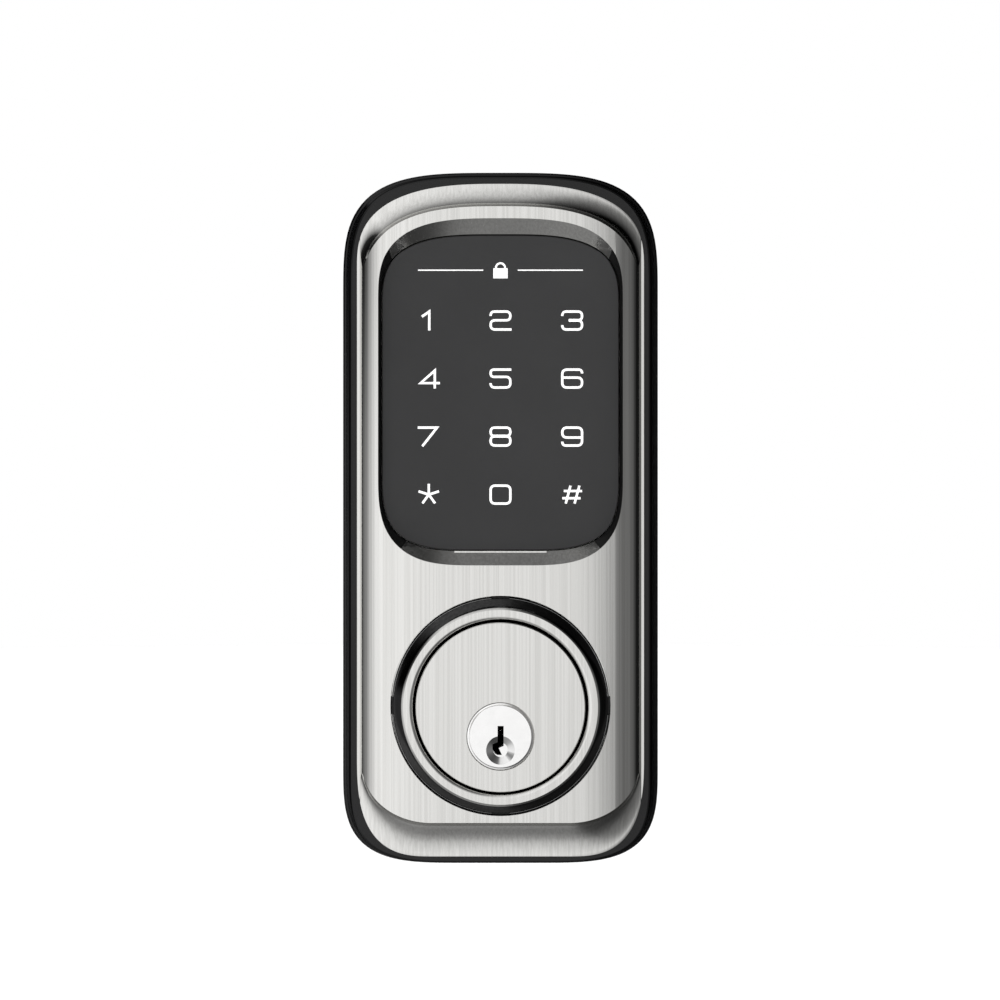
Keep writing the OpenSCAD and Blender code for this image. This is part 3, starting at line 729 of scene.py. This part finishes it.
# ---------------------------------------------------------------- touch panel
# A sheet of hard-coated glass with a dark grey print on its back, stuck into the recess. The
# numerals are printed on it in white.
glass_steps = [(18.7, 0.15), (recess_t - 0.22, 0.15), (recess_t - 0.06, 0.22), (recess_t, 0.38)]
glass = draw_out("touch_glass", [(t, outline(inset(window, d))) for t, d in glass_steps])
finish_shading(glass)
panel_grey, panel_tree, panel_shader = plain_finish("panel_grey", (0.052, 0.052, 0.053), 0.5)
film = pattern(panel_tree, (60, 60, 60), 1.0, 3.0)
panel_tree.links.new(tint(panel_tree, film, (0.050, 0.050, 0.051), (0.055, 0.055, 0.056)),
                     panel_shader.inputs["Base Color"])
panel_shader.inputs["Specular IOR Level"].default_value = 0.2
glass.data.materials.clear()
glass.data.materials.append(panel_grey)
glass.data.materials.append(painted_shade_black)
# Painted shade: the glass's edges take the near-black finish, so the gap round it reads dark.
for polygon in glass.data.polygons:
    if abs(polygon.normal.y) < 0.95:
        polygon.material_index = 1
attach(glass, "case")
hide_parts("touch_panel")


# The legends: a white print on the glass, lit from behind by the board. The numerals are drawn
# with one even line and round bends; a plain padlock between two rules stands above them.
legend_t = recess_t + 0.06
line_width = 0.5


def bend(corners, radius, closed=False):
    """Points along a line whose corners are rounded."""
    path = []
    count = len(corners)
    for i, (x, z) in enumerate(corners):
        if not closed and i in (0, count - 1):
            path.append((x, z))
            continue
        before, after = Vector(corners[i - 1]), Vector(corners[(i + 1) % count])
        here = Vector((x, z))
        arrive, leave = (here - before).normalized(), (after - here).normalized()
        turn = arrive.angle(leave)
        free_start = not closed and i == 1
        free_end = not closed and i == count - 2
        reach = min(radius * math.tan(turn / 2), (here - before).length * (0.95 if free_start else 0.5),
                    (after - here).length * (0.95 if free_end else 0.5))
        if reach < 0.05 or turn > math.radians(100):
            path.append((x, z))
            continue
        for j in range(7):
            share = j / 6
            start, end = here - arrive * reach, here + leave * reach
            low = start.lerp(here, share).lerp(here.lerp(end, share), share)
            path.append((low.x, low.y))
    if closed:
        path.append(path[0])
    return path


def ribbon(path, width, place):
    """A flat line of print laid along a path."""
    closed = path[0] == path[-1]
    bpy.ops.object.select_all(action="DESELECT")
    bpy.ops.mesh.primitive_grid_add(x_subdivisions=len(path) - 1, y_subdivisions=1, size=0.01)
    line = bpy.context.object
    mesh = line.data
    columns = sorted({round(v.co.x, 6) for v in mesh.vertices})
    for vertex in mesh.vertices:
        i = columns.index(round(vertex.co.x, 6))
        here = Vector(path[i])
        ahead = Vector(path[1 if closed and i == len(path) - 1 else min(i + 1, len(path) - 1)]) - here
        behind = here - Vector(path[-2 if closed and i == 0 else max(i - 1, 0)])
        ahead = ahead.normalized() if ahead.length else behind.normalized()
        behind = behind.normalized() if behind.length else ahead
        across = Vector((-(ahead + behind).y, (ahead + behind).x)).normalized()
        across /= max(0.4, across.dot(Vector((-ahead.y, ahead.x))))
        side = width / 2 if vertex.co.y > 0 else -width / 2
        spot = here + across * side
        vertex.co = ((place[0] + spot.x) * mm, -recess_t * mm, (place[1] + spot.y) * mm)
    bpy.ops.object.mode_set(mode="EDIT")
    bpy.ops.mesh.select_all(action="SELECT")
    bpy.ops.mesh.remove_doubles(threshold=0.000002)
    bpy.ops.mesh.select_all(action="SELECT")
    bpy.ops.mesh.extrude_region_move(TRANSFORM_OT_translate={"value": (0, -(legend_t - recess_t) * mm, 0)})
    bpy.ops.mesh.select_all(action="SELECT")
    bpy.ops.mesh.normals_make_consistent(inside=False)
    bpy.ops.object.mode_set(mode="OBJECT")
    return line


w, h = 2.06, 1.87
sixth = 1.15
round_corner = 1.0
numeral_lines = {
    "1": [([(-1.45, 0.8), (0.1, h), (0.1, -h - 0.2)], 0)],
    "2": [([(-w, 0.95), (-w, h), (w, h), (w, 0.05), (-w, 0.05), (-w, -h), (w + 0.25, -h)], round_corner)],
    "3": [([(-w, 0.95), (-w, h), (w, h), (w, 0.05), (-0.7, 0.05)], round_corner),
          ([(-0.7, 0.05), (w, 0.05), (w, -h), (-w, -h), (-w, -0.95)], round_corner)],
    "4": [([(1.25, -h - 0.2), (1.25, h - 0.2), (-w + 0.35, -0.95), (w + 0.25, -0.95)], 0)],
    "5": [([(w + 0.2, h), (-w, h), (-w, 0.35), (w, 0.35), (w, -h), (-w, -h), (-w, -0.95)], round_corner)],
    "6": [([(w, 1.05), (w, h), (-w, h), (-w, -h), (w, -h), (w, 0.2), (-w, 0.2)], round_corner)],
    "7": [([(-w - 0.25, h), (w - 0.35, h), (-1.35, -h - 0.15)], 0)],
    "8": [([(-w, 0.1), (-w, h), (w, h), (w, 0.1)], round_corner),
          ([(-w, 0.1), (w, 0.1), (w, -h), (-w, -h)], round_corner)],
    "9": [([(-w, -1.05), (-w, -h), (w, -h), (w, h), (-w, h), (-w, -0.2), (w, -0.2)], round_corner)],
    "*": [([(0, 0), (sixth * 1.95 * math.sin(turn), sixth * 1.95 * math.cos(turn))], 0)
          for turn in [math.radians(72 * arm) for arm in range(5)]],
    "0": [([(-w, h), (w, h), (w, -h), (-w, -h)], round_corner)],
    "#": [([(-1.35, -h), (-0.35, h)], 0), ([(0.5, -h), (1.5, h)], 0),
          ([(-w, -0.75), (1.75, -0.75)], 0), ([(-1.75, 0.75), (w, 0.75)], 0)],
}
printed = []
for number, character in enumerate("123456789*0#"):
    place = (14.95 * (number % 3 - 1), 80.1 - 12.1 * (number // 3))
    for corners, radius in numeral_lines[character]:
        closed = character in "08"
        printed.append(ribbon(bend(corners, radius, closed), line_width, place))
mark_z = 90.6
for side in (-1, 1):
    printed.append(ribbon([(3.6 * side, 0), (17.2 * side, 0)], 0.25, (0, mark_z)))
shackle = [(0.95 * math.cos(math.radians(15 * i)), 0.95 * math.sin(math.radians(15 * i))) for i in range(13)]
printed.append(ribbon([(0.95, -0.2)] + shackle + [(-0.95, -0.2)], 0.4, (0, mark_z + 0.5)))
printed.append(block("lock_body", 3.0, 2.1, recess_t, legend_t, (0, mark_z - 0.65)))
bpy.ops.object.select_all(action="DESELECT")
for line in printed:
    line.select_set(True)
bpy.context.view_layer.objects.active = printed[0]
bpy.ops.object.join()
legends = bpy.context.object
legends.name = "key_legend_print"
legend_white, legend_tree, legend_shader = plain_finish("legend_white", (0.95, 0.95, 0.95), 0.4)
ink = pattern(legend_tree, (900, 900, 900), 1.0, 2.0)
legend_tree.links.new(tint(legend_tree, ink, (0.92, 0.92, 0.92), (0.97, 0.97, 0.97)),
                      legend_shader.inputs["Base Color"])
legend_shader.inputs["Emission Color"].default_value = (1, 1, 1, 1)
legend_shader.inputs["Emission Strength"].default_value = 0.5
legends.data.materials.clear()
legends.data.materials.append(legend_white)
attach(legends, "case")
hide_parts("key_legends")


# ---------------------------------------------------------------- door side
# What shows from the door: a steel back plate screwed over the casting, an adapter ring that
# centres the unit in the cross bore, two threaded posts, and a foam rubber gasket.
rubber_black = moulded("rubber_black", (0.010, 0.010, 0.010), (0.016, 0.016, 0.016), 0.7, 1800, 0.00003)
plated_steel = brushed("plated_steel", (0.66, 0.67, 0.68), (0.56, 0.57, 0.59), 0.34, (300, 300, 300))
hard_steel = brushed("hard_steel", (0.36, 0.36, 0.38), (0.26, 0.26, 0.28), 0.36, (700, 700, 700))
brass = brushed("brass", (0.80, 0.62, 0.30), (0.68, 0.50, 0.22), 0.3, (400, 2500, 400))
post_places = ((-19, 0), (19, 0))
cylinder_screw_places = ((-10.6, 5.4), (10.6, 5.4))
grommet_place = (0, 20)


def dress(piece, finish, node, part="case", angle=28):
    """Gives a rebuilt piece its finish and its place in the frame."""
    finish_shading(piece, angle)
    piece.data.materials.clear()
    piece.data.materials.append(finish)
    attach(piece, part)
    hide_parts(node)


def merge(name, pieces):
    """Makes several solids one object."""
    bpy.ops.object.select_all(action="DESELECT")
    for piece in pieces:
        piece.select_set(True)
    bpy.context.view_layer.objects.active = pieces[0]
    bpy.ops.object.join()
    pieces[0].name = name
    return pieces[0]


gasket = slab("gasket_strip", inset(rim, 0.6), 0.02, gasket_t)
combine(gasket, slab("gasket_inside", inset(rim, 4.6), -1, gasket_t + 1))
soften(gasket, 0.15, 40, 2)
dress(gasket, rubber_black, "door_gasket")

plate = slab("back_plate_pressing", inset(metal, 1.8), floor_t, plate_t)
combine(plate, rod("cap_clearance", 8.2, 0, plate_t + 1, (0, -plug_drop), 96))
for spot in (grommet_place,) + post_places:
    combine(plate, rod("hole", 3.0, 0, plate_t + 1, spot, 48))
for spot in screw_posts + cylinder_screw_places:
    combine(plate, rod("screw_hole", 1.6, 0, plate_t + 1, spot, 40))
soften(plate, 0.12, 40, 2)
dress(plate, plated_steel, "back_plate")

adapter = turned("adapter_ring", [
    (24.3, -6.7), (24.6, -7), (adapter_r - 0.8, -7), (adapter_r - 0.25, -6.75), (adapter_r, -6.2),
    (adapter_r, 0.6), (adapter_r - 0.3, 0.6), (adapter_r - 0.3, gasket_t + 1),
    (adapter_r + 1.0, gasket_t + 1), (adapter_r + 1.0, floor_t), (24.3, floor_t)])
dress(adapter, case_black, "bore_adapter")

grommet = turned("grommet", [
    (1.9, floor_t - 0.6), (2.2, floor_t - 0.9), (3.4, floor_t - 0.9), (3.7, floor_t - 0.75),
    (3.8, floor_t - 0.5), (3.8, floor_t), (3.0, floor_t), (3.0, plate_t), (3.8, plate_t),
    (3.8, plate_t + 0.5), (3.7, plate_t + 0.75), (3.4, plate_t + 0.9), (2.2, plate_t + 0.9),
    (1.9, plate_t + 0.6)], grommet_place, 64)
dress(grommet, rubber_black, "cable_grommet")

posts = []
for spot in post_places:
    posts.append(turned("post", [
        (2.1, 2.4), (2.1, -11.7), (2.4, -12), (3.2, -12), (3.45, -11.9), (3.6, -11.6), (3.6, floor_t),
        (3.0, floor_t), (3.0, plate_t), (0, plate_t), (0, 2.4)], spot, 64))
dress(merge("threaded_posts", posts), plated_steel, "mounting_posts")


def screw(spot, head_r, head_h, shank_r, t0, length):
    """A pan-head screw with a cross recess; its thread is a row of fine rings."""
    head = [(0, t0 - head_h), (head_r * 0.45, t0 - head_h), (head_r * 0.8, t0 - head_h + 0.12),
            (head_r * 0.97, t0 - head_h + 0.4), (head_r, t0 - head_h + 0.7), (head_r, t0), (shank_r, t0)]
    thread, pitch = [], 0.5
    for i in range(int((length - 1.0) / pitch)):
        start = t0 + 0.5 + pitch * i
        thread += [(shank_r, start), (shank_r, start + 0.06),
                   (shank_r - 0.16, start + 0.25), (shank_r - 0.16, start + 0.3)]
    tip = [(shank_r, t0 + length - 0.5), (shank_r - 0.4, t0 + length), (0, t0 + length)]
    piece = turned("screw", head + thread + tip, spot, 32)
    for size in ((head_r * 1.2, 0.5), (0.5, head_r * 1.2)):
        combine(piece, block("recess", *size, t0 - head_h - 1, t0 - head_h + 0.7, spot))
    return piece


dress(merge("housing_screw_set", [screw(spot, 2.7, 1.6, 1.25, gasket_t + 1.1, 13) for spot in screw_posts]),
      hard_steel, "housing_screws")
dress(merge("cylinder_screw_set",
            [screw(spot, 2.5, 1.5, 1.25, floor_t, 10) for spot in cylinder_screw_places]),
      plated_steel, "cylinder_screws")

# The tail cap is turned from brass and screwed on the back of the plug. It holds the tailpiece, a
# flat bar of plated steel with a round head.
tail_cap = turned("tail_cap_turning", [
    (5.2, 4.0), (5.2, -0.95), (3.6, -0.95), (3.6, -1.9), (3.7, -2.0), (6.3, -2.0), (6.65, -1.85),
    (6.8, -1.5), (6.8, 3.9), (6.7, 4.0)], (0, -plug_drop), 96)
flutes, flute_circle = 24, 7.0
for i in range(flutes):
    turn = 2 * math.pi * i / flutes
    spot = (flute_circle * math.cos(turn), flute_circle * math.sin(turn) - plug_drop)
    combine(tail_cap, rod("flute", 0.35, -1.4, 2.4, spot, 12))
dress(tail_cap, brass, "tail_cap", "plug")

tail = rod("tailpiece_head", 2.4, -0.85, 0.5, (0, -plug_drop), 64)
for side in (90, 270):
    lobe = [(0, -plug_drop)]
    for i in range(13):
        turn = math.radians(side - 22 + 44 * i / 12)
        lobe.append((lug_r * math.cos(turn), lug_r * math.sin(turn) - plug_drop))
    combine(tail, draw_out("lobe", [(-0.85, lobe), (0.5, lobe)]), "UNION")
combine(tail, block("tail_bar", 6.2, 1.6, -40, -0.8, (0, -plug_drop)), "UNION")
for depth in (-16, -22, -28, -34):
    for side in (-1, 1):
        place = (0, -plug_drop + 0.85 * side)
        combine(tail, block("snap_line", 6.6, 0.3, depth - 0.15, depth + 0.15, place))
soften(tail, 0.1, 40, 2)
dress(tail, plated_steel, "tailpiece", "tailpiece")


# A lamp behind lights only these pieces, for views from the door's side.
bpy.ops.object.light_add(type="AREA", location=(0.3, 0.9, 0.35),
                         rotation=(math.radians(-70), 0, math.radians(-18)))
behind = bpy.context.object
behind.name = "light_behind"
behind.data.size = 1.6
behind.data.energy = 9
behind.visible_camera = False
door_side = bpy.data.collections.new("lit_from_behind")
lit_pieces = ("gasket_strip", "back_plate_pressing", "adapter_ring", "grommet", "threaded_posts",
              "housing_screw_set", "cylinder_screw_set", "tail_cap_turning", "tailpiece_head")
for piece in list(bpy.context.scene.objects):
    if piece.name in lit_pieces:
        door_side.objects.link(piece)
behind.light_linking.receiver_collection = door_side


# ---------------------------------------------------------------- the rest, carried over
# Plain pieces that keep their own shapes, each with the finish of its stuff.
diffuser = moulded("diffuser_white", (0.82, 0.83, 0.84), (0.9, 0.91, 0.92), 0.5)
led_lens = moulded("led_lens", (0.85, 0.80, 0.5), (0.93, 0.88, 0.6), 0.25)
board_green = moulded("board_green", (0.01, 0.07, 0.03), (0.02, 0.11, 0.05), 0.3, 900)
chip_black = moulded("chip_black", (0.012, 0.012, 0.013), (0.02, 0.02, 0.022), 0.5)
socket_cream = moulded("socket_cream", (0.72, 0.68, 0.58), (0.8, 0.77, 0.68), 0.45)
finishes = {
    "panel_adhesive": rubber_black, "light_guide": diffuser, "key_leds": led_lens, "touch_board": board_green,
    "controller_chips": chip_black, "cable_socket": socket_cream, "buzzer": chip_black,
    "board_carrier": case_black, "carrier_seal": rubber_black, "carrier_screws": plated_steel,
    "anti_drill_pins": hard_steel, "chamber_cap": brass, "key_pins": brass, "driver_pins": hard_steel,
    "pin_springs": plated_steel,
}
for name, finish in finishes.items():
    nodes[name].data.materials.clear()
    nodes[name].data.materials.append(finish)
